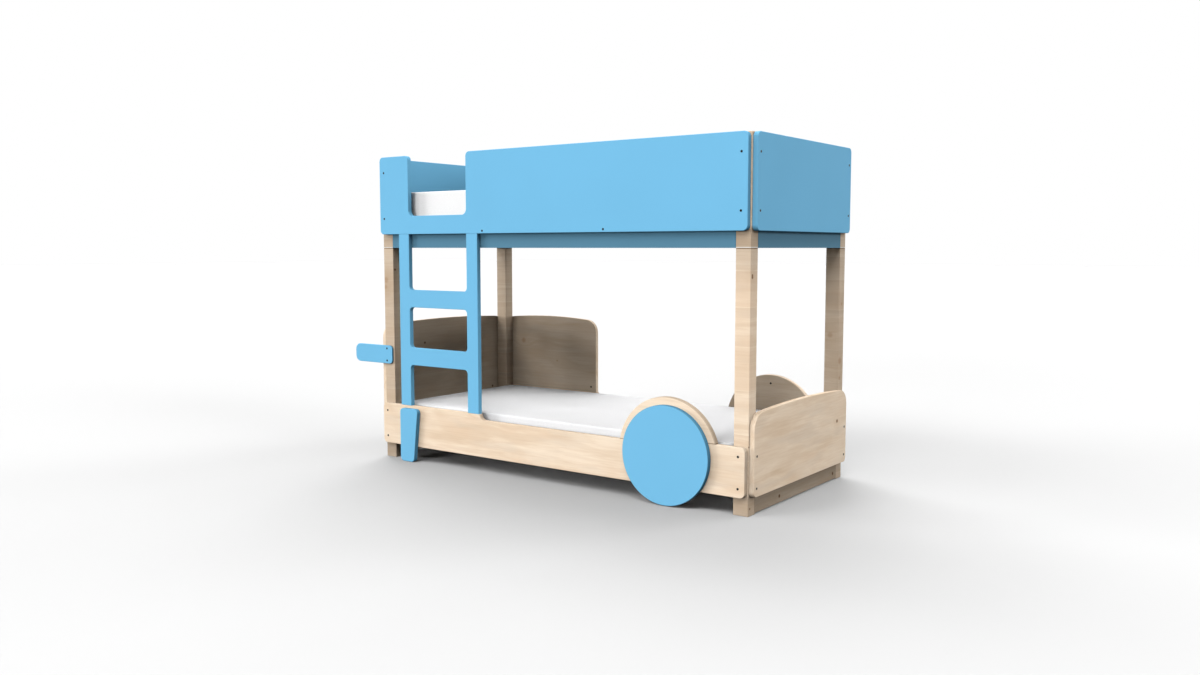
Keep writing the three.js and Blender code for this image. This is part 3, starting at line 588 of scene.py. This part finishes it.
def woven_cover(name, cover):
    """White woven cover: a fine diagonal weave, slubs, and a soft sheen."""
    material, tree, shader, coords = new_material(name)
    waves = []
    for direction in ((1.0, 1.0, 1.0), (1.0, -1.0, 1.0)):
        across = vector_maths(tree, "DOT_PRODUCT", coords, direction)
        waves.append(maths(tree, "SINE", maths(tree, "MULTIPLY", across, 2 * math.pi / WEAVE_PITCH)))
    weave = maths(tree, "MULTIPLY", waves[0], waves[1])
    slubs = noise_of(tree, vector_maths(tree, "MULTIPLY", coords, (90.0, 320.0, 320.0)), 1.0, 2.0, 0.5)
    cloud = noise_of(tree, coords, 9.0, 3.0, 0.5)
    shade = tuple(c * 0.955 for c in cover)
    colour = mix(tree, remap(tree, slubs, 0.35, 0.7), cover, shade)
    colour = mix(tree, remap(tree, cloud, 0.35, 0.7, 0.0, 0.35), colour, shade)
    tree.links.new(colour, shader.inputs["Base Color"])
    tree.links.new(remap(tree, weave, -1.0, 1.0, 0.82, 0.95, False), shader.inputs["Roughness"])
    relief = maths(tree, "ADD", weave, maths(tree, "MULTIPLY", slubs, 1.5))
    tree.links.new(bump(tree, relief, 0.00025, 0.5), shader.inputs["Normal"])
    shader.inputs["Sheen Weight"].default_value = 0.15
    shader.inputs["Sheen Roughness"].default_value = 0.5
    shader.inputs["Specular IOR Level"].default_value = 0.01
    return material


# Mesh helpers

def piece_from(bm, name, material, body=BODY):
    """Makes a piece of the bed from a finished bmesh, and lets it ride on a body."""
    mesh = bpy.data.meshes.new(name)
    bmesh.ops.recalc_face_normals(bm, faces=bm.faces[:])
    bm.to_mesh(mesh)
    bm.free()
    mesh.materials.append(material)
    made = bpy.data.objects.new(name, mesh)
    bpy.context.scene.collection.objects.link(made)
    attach(made, body)
    return made


def screw_head(bm, place, outwards, settings):
    """Adds one socket-head screw: place is on the board's face, outwards points away from the board."""
    turn = outwards.to_track_quat("Z", "Y").to_matrix().to_4x4()
    matrix = Matrix.Translation(place) @ turn
    radius = settings.head_diameter / 2
    full = settings.head_depth + settings.head_rise
    ring = bmesh.ops.create_circle(bm, cap_ends=True, segments=18, radius=radius)["verts"]
    base = list({f for v in ring for f in v.link_faces})
    raised = bmesh.ops.extrude_face_region(bm, geom=base)["geom"]
    top_verts = [g for g in raised if isinstance(g, bmesh.types.BMVert)]
    top = [g for g in raised if isinstance(g, bmesh.types.BMFace)][0]
    bmesh.ops.translate(bm, verts=top_verts, vec=(0, 0, full))
    edge = settings.head_rise * 0.6
    bmesh.ops.inset_region(bm, faces=[top], thickness=edge, depth=edge * 0.5, use_even_offset=True)
    socket = settings.socket_diameter / 2
    bmesh.ops.inset_region(bm, faces=[top], thickness=radius - edge - socket, depth=0, use_even_offset=True)
    bmesh.ops.inset_region(bm, faces=[top], thickness=socket * 0.08, depth=-settings.head_rise * 0.8,
                           use_even_offset=True)
    every = {v for v in top.verts}
    grown = True
    while grown:
        more = {w for v in every for e in v.link_edges for w in e.verts}
        grown = len(more) > len(every)
        every |= more
    bmesh.ops.translate(bm, verts=list(every), vec=(0, 0, -settings.head_depth))
    bmesh.ops.transform(bm, matrix=matrix, verts=list(every))


def on_face(name, outwards, places):
    """Points on one outer face of a board's box, from (x, y, z) where None means on the face."""
    low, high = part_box(name)
    face = [high[i] if outwards[i] > 0 else low[i] for i in range(3)]
    return [Vector(face[i] if place[i] is None else place[i] for i in range(3)) for place in places]


def corners_in(name, across, margin, lower, upper):
    """(position across, height) of four corner screws on a board's box."""
    low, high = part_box(name)
    return [(side, height) for side in (low[across] + margin, high[across] - margin) for height in (lower, upper)]


# Operators

class BUNKBED_OT_camera(bpy.types.Operator):
    """Puts the camera where the photograph was taken from"""

    bl_idname = "bunkbed.camera"
    bl_label = "Make camera"

    def execute(self, context):
        settings = context.scene.bunk_bed_stage
        data = bpy.data.cameras.new("camera")
        data.sensor_width = 36
        data.lens = settings.lens
        data.clip_end = 200
        camera = bpy.data.objects.new("camera", data)
        camera.location = settings.place
        camera.rotation_euler = (math.radians(90) - settings.pitch, 0, settings.heading)
        context.scene.collection.objects.link(camera)
        context.scene.camera = camera
        return {"FINISHED"}


class BUNKBED_OT_timber(bpy.types.Operator):
    """Lacquers the posts, rails and boards, and leaves the slats, ledgers and dowels bare"""

    bl_idname = "bunkbed.timber"
    bl_label = "Finish timber"

    def execute(self, context):
        settings = context.scene.bunk_bed_timber
        for seed, name in enumerate(POSTS):
            self.finish(name, "round", seed + 1.0, settings)
        for seed, name in enumerate(LONG_BOARDS):
            self.finish(name, "X", seed + 20.0, settings)
        for seed, name in enumerate(CROSS_BOARDS):
            self.finish(name, "Y", seed + 40.0, settings)
        bare = [birch(f"bare_slat_{i}", "Y", 60.0 + i * 3.1, settings, tint=settings.slat) for i in range(4)]
        for i, name in enumerate(SLATS):
            wear(name, bare[i % len(bare)])
        rail = birch("bare_ledger", "X", 80.0, settings, tint=settings.slat)
        for name in LEDGERS:
            wear(name, rail)
        peg = birch("bare_dowel", "Z", 90.0, settings, tint=settings.slat)
        for name in DOWELS:
            wear(name, peg)
        return {"FINISHED"}

    def finish(self, name, grain, seed, settings):
        low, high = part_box(name)
        disc = inner = None
        if name in INNER_FACES:
            axis, side = INNER_FACES[name]
            inner = (axis, side, (high if side > 0 else low)[axis] - side * INNER_FACE_DEPTH)
        if name.startswith("wheel_arch"):
            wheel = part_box(name.replace("arch_", ""))
            middle = (wheel[0].z + wheel[1].z) / 2
            disc = ((low.x + high.x) / 2, middle, high.z - middle)
        # Each part gets its painted shade, if it has one, with its finish
        wear(name, birch(f"birch_{name}", grain, seed, settings, KNOTS.get(name, ()),
                         PAINTED_SHADES.get(name, (1, 1, 1)), (low.z, high.z), disc, inner=inner))


class BUNKBED_OT_paint(bpy.types.Operator):
    """Paints the panels, ladder, support rails, wheels and plates"""

    bl_idname = "bunkbed.paint"
    bl_label = "Paint boards"

    def execute(self, context):
        settings = context.scene.bunk_bed_paint
        paint = satin_paint("blue_paint", tuple(settings.colour), settings.roughness)
        # The support rails take a darker copy of the blue, as painted shade under the panels
        rail_shade_paint = satin_paint("deep_blue_paint", tuple(settings.rails), settings.roughness)
        for name in PAINTED:
            wear(name, rail_shade_paint if name.startswith("support_rail") else paint)
        # Each wheel's paint has a painted shade on its rim
        for name in ("wheel_front", "wheel_back"):
            low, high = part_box(name)
            disc = ((low.x + high.x) / 2, (low.z + high.z) / 2, (high.x - low.x) / 2)
            wear(name, satin_paint(f"blue_paint_{name}", tuple(settings.colour), settings.roughness, disc,
                                   settings.rim))
        return {"FINISHED"}


class BUNKBED_OT_screws(bpy.types.Operator):
    """Sets the screws in the panels, rails, boards and plates"""

    bl_idname = "bunkbed.screws"
    bl_label = "Set screws"

    def execute(self, context):
        settings = context.scene.bunk_bed_screws
        steel = black_steel("black_steel", settings)
        groups = {
            "panel_screws": self.panels(),
            "rail_screws": self.rails(),
            "board_screws": self.boards(),
            "plate_screws": self.plates(),
        }
        for name, places in groups.items():
            bm = bmesh.new()
            for place, out in places:
                screw_head(bm, place, out, settings)
            piece_from(bm, name, steel)
        return {"FINISHED"}

    def panels(self):
        """Four corner screws in each guard panel, and two low ones in the long panels."""
        found = []
        for name, out in (("guard_panel_front", FRONT), ("guard_panel_back", BACK)):
            low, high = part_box(name)
            corners = corners_in(name, 0, PANEL_SCREW_SIDE, low.z + PANEL_SCREW_RISE, high.z - PANEL_SCREW_RISE)
            third = (high.x - low.x + 2 * BOARD_SETBACK) / 6
            centre = (high.x + low.x) / 2
            places = [(x, None, z) for x, z in corners]
            places += [(centre + side * third, None, low.z + PANEL_EDGE_SCREW_RISE) for side in (-1, 1)]
            found += [(place, out) for place in on_face(name, out, places)]
        for name, out in (("guard_panel_left", LEFT), ("guard_panel_right", RIGHT)):
            low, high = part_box(name)
            corners = corners_in(name, 1, END_PANEL_SCREW_SIDE, low.z + PANEL_SCREW_RISE, high.z - PANEL_SCREW_RISE)
            found += [(place, out) for place in on_face(name, out, [(None, y, z) for y, z in corners])]
        return found

    def rails(self):
        """Four corner screws in each side rail."""
        found = []
        for name, out in (("side_rail_front", FRONT), ("side_rail_back", BACK)):
            low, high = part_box(name)
            corners = corners_in(name, 0, RAIL_SCREW_SIDE, low.z + RAIL_SCREW_RISE, high.z - RAIL_SCREW_DROP)
            found += [(place, out) for place in on_face(name, out, [(x, None, z) for x, z in corners])]
        return found

    def boards(self):
        """Four screws in each end board, and one in the back board and in each arch."""
        found = []
        for name, out in (("headboard", LEFT), ("footboard", RIGHT)):
            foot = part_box(name)[0].z
            corners = corners_in(name, 1, END_BOARD_SCREW_SIDE, foot + END_BOARD_SCREW_RISE, END_BOARD_SCREW_HEIGHT)
            found += [(place, out) for place in on_face(name, out, [(None, y, z) for y, z in corners])]
        low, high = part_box("back_board")
        found.append((Vector((high.x - BACK_BOARD_SCREW_SIDE, low.y, low.z + BACK_BOARD_SCREW_RISE)), FRONT))
        for name, out in (("wheel_arch_back", FRONT), ("wheel_arch_front", BACK)):
            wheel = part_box("wheel_back")
            centre = (wheel[0].x + wheel[1].x) / 2
            found += [(place, out) for place in
                      on_face(name, out, [(centre, None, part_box(name)[1].z - ARCH_SCREW_DROP)])]
        return found

    def plates(self):
        """Two screws in the mirror plate."""
        low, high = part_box("mirror_plate")
        x = high.x - MIRROR_SCREW_SIDE
        return [(Vector((x, low.y, z)), FRONT) for z in (high.z - MIRROR_SCREW_DROP, low.z + MIRROR_SCREW_RISE)]


class BUNKBED_OT_mattresses(bpy.types.Operator):
    """Makes the two mattresses from inflated covers"""

    bl_idname = "bunkbed.mattresses"
    bl_label = "Make mattresses"

    def execute(self, context):
        settings = context.scene.bunk_bed_mattress
        for seed, level in enumerate(("lower", "upper")):
            name = f"{level}_mattress"
            # Each mattress takes its own copy of the cover; the lower copy carries painted shade
            cover = woven_cover(f"woven_{level}_cover", tuple(getattr(settings, f"{level}_cover")))
            made = self.shell(context, f"{level}_mattress_cover", name, cover, settings)
            self.inflate(context, made, settings)
            self.ripple(made, settings, seed)
            smooth = made.modifiers.new("smooth", "SUBSURF")
            smooth.levels = 1
            smooth.render_levels = 1
            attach(made, name)
            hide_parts(name)
        return {"FINISHED"}

    def shell(self, context, piece, node_name, cover, settings):
        """A box with round edges, a little smaller than the mattress, cut into cells."""
        low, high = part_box(node_name)
        size = high - low
        centre = (low + high) / 2
        slack = settings.slack
        bm = bmesh.new()
        bmesh.ops.create_cube(bm, size=1)
        bmesh.ops.scale(bm, verts=bm.verts[:], vec=size - Vector((2 * slack, 2 * slack, 2 * slack)))
        upright = [e for e in bm.edges if abs(e.verts[0].co.z - e.verts[1].co.z) > size.z / 2]
        corner = settings.lower_corner if node_name.startswith("lower") else settings.upper_corner
        bmesh.ops.bevel(bm, geom=upright, offset=corner, segments=5, affect="EDGES", profile=0.5, material=-1)
        rims = [e for e in bm.edges if abs(e.verts[0].co.z - e.verts[1].co.z) < 1e-6
                and len({round(f.normal.z, 3) for f in e.link_faces}) > 1]
        bmesh.ops.bevel(bm, geom=rims, offset=settings.rim, segments=3, affect="EDGES", profile=0.5,
                        material=-1)
        for axis in range(3):
            count = max(2, round(size[axis] / settings.cell))
            for i in range(1, count):
                place = (i / count - 0.5) * size[axis]
                if abs(abs(place) - size[axis] / 2) < 0.05 and axis != 2:
                    continue
                normal = Vector((0, 0, 0))
                normal[axis] = 1
                where = normal * place
                bmesh.ops.bisect_plane(bm, geom=bm.verts[:] + bm.edges[:] + bm.faces[:], dist=1e-5,
                                       plane_co=where, plane_no=normal)
        bmesh.ops.translate(bm, verts=bm.verts[:], vec=centre)
        bmesh.ops.recalc_face_normals(bm, faces=bm.faces[:])
        mesh = bpy.data.meshes.new(piece)
        bm.to_mesh(mesh)
        bm.free()
        mesh.materials.append(cover)
        mesh.shade_smooth()
        made = bpy.data.objects.new(piece, mesh)
        context.scene.collection.objects.link(made)
        return made

    def inflate(self, context, made, settings):
        """Presses the cover out from inside, and keeps each point within its travel."""
        start = [v.co.copy() for v in made.data.vertices]
        cloth = made.modifiers.new("cover", "CLOTH")
        cloth.settings.quality = 5
        cloth.settings.use_pressure = True
        cloth.settings.uniform_pressure_force = settings.pressure
        cloth.settings.effector_weights.gravity = 0
        cloth.point_cache.frame_start = 1
        cloth.point_cache.frame_end = INFLATION_FRAMES
        for number in range(1, INFLATION_FRAMES + 1):
            context.scene.frame_set(number)
        shaped = made.evaluated_get(context.evaluated_depsgraph_get()).to_mesh()
        moved = [v.co.copy() for v in shaped.vertices]
        made.evaluated_get(context.evaluated_depsgraph_get()).to_mesh_clear()
        made.modifiers.remove(cloth)
        for vertex, first, last in zip(made.data.vertices, start, moved):
            step = last - first
            if step.length > settings.travel:
                step *= settings.travel / step.length
            vertex.co = first + step
        context.scene.frame_set(1)

    def ripple(self, made, settings, seed):
        """Gives the cover soft waves that run along the bed."""
        for vertex in made.data.vertices:
            place = Vector((vertex.co.x * 1.6 + seed * 7.0, vertex.co.y * 9.0, vertex.co.z * 9.0))
            vertex.co += vertex.normal * settings.ripple * noise.noise(place)


class BUNKBED_OT_stage(bpy.types.Operator):
    """Lays the pale floor and sets up the soft studio light"""

    bl_idname = "bunkbed.stage"
    bl_label = "Make stage"

    def execute(self, context):
        settings = context.scene.bunk_bed_stage
        bm = bmesh.new()
        bmesh.ops.create_grid(bm, x_segments=2, y_segments=2, size=FLOOR_HALF_SIZE)
        mesh = bpy.data.meshes.new("floor")
        bm.to_mesh(mesh)
        bm.free()
        floor = bpy.data.objects.new("floor", mesh)
        context.scene.collection.objects.link(floor)
        mesh.materials.append(self.floor_finish(settings))
        self.lamps(context, settings)
        self.world(context, settings)
        context.scene.view_settings.view_transform = "Standard"
        return {"FINISHED"}

    def floor_finish(self, settings):
        """Matt floor that fades into the background, and that throws little light back up."""
        material, tree, shader, coords = new_material("pale_floor")
        shader.inputs["Roughness"].default_value = 1.0
        shader.inputs["Specular IOR Level"].default_value = 0.0
        away = vector_maths(tree, "LENGTH", coords)
        fade = remap(tree, away, FLOOR_FADE_FROM, FLOOR_FADE_TO)
        seen = mix(tree, fade, tuple(settings.floor), tuple(settings.floor_far))
        paths = node(tree, "ShaderNodeLightPath")
        direct = maths(tree, "MAXIMUM", paths.outputs["Is Camera Ray"], paths.outputs["Is Glossy Ray"])
        direct = maths(tree, "MAXIMUM", direct, paths.outputs["Is Transmission Ray"])
        tree.links.new(mix(tree, direct, tuple(settings.floor_bounce), seen), shader.inputs["Base Color"])
        return material

    def lamps(self, context, settings):
        """Hangs wide soft lamps all round, which light what they reach and bounce no further."""
        for name, azimuth, elevation, strength in LAMPS:
            light = bpy.data.lights.new(name, "SUN")
            light.angle = settings.lamp_width
            light.energy = strength * math.pi * settings.lamp_level
            light.cycles.max_bounces = settings.lamp_bounces
            lamp = bpy.data.objects.new(name, light)
            turn, rise = math.radians(azimuth), math.radians(elevation)
            out = Vector((math.sin(turn) * math.cos(rise), -math.cos(turn) * math.cos(rise), math.sin(rise)))
            lamp.location = out * LAMP_DISTANCE
            lamp.rotation_euler = out.to_track_quat("Z", "Y").to_euler()
            context.scene.collection.objects.link(lamp)

    def world(self, context, settings):
        world = bpy.data.worlds.new("studio")
        world.use_nodes = True
        tree = world.node_tree
        tree.nodes.clear()
        even = node(tree, "ShaderNodeBackground", None, Color=(1, 1, 1, 1), Strength=settings.world)
        seen = node(tree, "ShaderNodeBackground", None, Color=(1, 1, 1, 1), Strength=1.0)
        paths = node(tree, "ShaderNodeLightPath")
        shown = maths(tree, "MAXIMUM", paths.outputs["Is Camera Ray"], paths.outputs["Is Glossy Ray"])
        shown = maths(tree, "MAXIMUM", shown, paths.outputs["Is Transmission Ray"])
        both = node(tree, "ShaderNodeMixShader", None, i0=shown, i1=even.outputs[0], i2=seen.outputs[0])
        output = node(tree, "ShaderNodeOutputWorld")
        tree.links.new(both.outputs[0], output.inputs["Surface"])
        context.scene.world = world


# Lamps: name, azimuth round from the bed's front towards its foot, elevation, and share of the light
LAMPS = [
    ("front_foot_high", 30, 56, 0.326),
    ("foot_back_high", 120, 56, 0.081),
    ("back_head_high", 210, 56, 0.148),
    ("head_back_high", 240, 56, 0.139),
    ("front_upper", 0, 40, 0.12),
    ("foot_back_upper", 120, 40, 0.042),
    ("back_foot_upper", 150, 40, 0.112),
    ("back_head_upper", 210, 40, 0.163),
    ("head_back_upper", 240, 40, 0.23),
    ("head_front_upper", 300, 40, 0.036),
    ("front_head_upper", 330, 40, 0.23),
    ("foot_middle", 90, 24, 0.245),
    ("back_head_middle", 210, 24, 0.08),
    ("front_low", 0, 8, 0.331),
    ("back_foot_low", 150, 8, 0.383),
    ("back_low", 180, 8, 0.181),
    ("head_front_low", 300, 8, 0.538),
]


class BUNKBED_PT_sidebar(bpy.types.Panel):
    """Lists the steps and settings of the bunk bed"""

    bl_label = "Bunk Bed"
    bl_idname = "BUNKBED_PT_sidebar"
    bl_space_type = "VIEW_3D"
    bl_region_type = "UI"
    bl_category = "Bunk Bed"

    def draw(self, context):
        for operator in STEPS:
            self.layout.operator(operator.bl_idname)
        for settings in SETTINGS:
            box = self.layout.box()
            box.label(text=settings.__doc__)
            for name in settings.__annotations__:
                box.prop(getattr(context.scene, SETTINGS[settings]), name)


SETTINGS = {
    BunkBedTimber: "bunk_bed_timber",
    BunkBedPaint: "bunk_bed_paint",
    BunkBedScrews: "bunk_bed_screws",
    BunkBedMattress: "bunk_bed_mattress",
    BunkBedStage: "bunk_bed_stage",
}
STEPS = [BUNKBED_OT_camera, BUNKBED_OT_timber, BUNKBED_OT_paint, BUNKBED_OT_screws, BUNKBED_OT_mattresses,
         BUNKBED_OT_stage]


def register():
    for group, name in SETTINGS.items():
        bpy.utils.register_class(group)
        setattr(bpy.types.Scene, name, bpy.props.PointerProperty(type=group))
    for operator in STEPS:
        bpy.utils.register_class(operator)
    bpy.utils.register_class(BUNKBED_PT_sidebar)


def unregister():
    bpy.utils.unregister_class(BUNKBED_PT_sidebar)
    for operator in reversed(STEPS):
        bpy.utils.unregister_class(operator)
    for group, name in SETTINGS.items():
        delattr(bpy.types.Scene, name)
        bpy.utils.unregister_class(group)


def main():
    register()
    bpy.ops.bunkbed.camera()
    bpy.ops.bunkbed.timber()
    bpy.ops.bunkbed.paint()
    bpy.ops.bunkbed.screws()
    bpy.ops.bunkbed.mattresses()
    bpy.ops.bunkbed.stage()


if __name__ == "__main__":
    main()
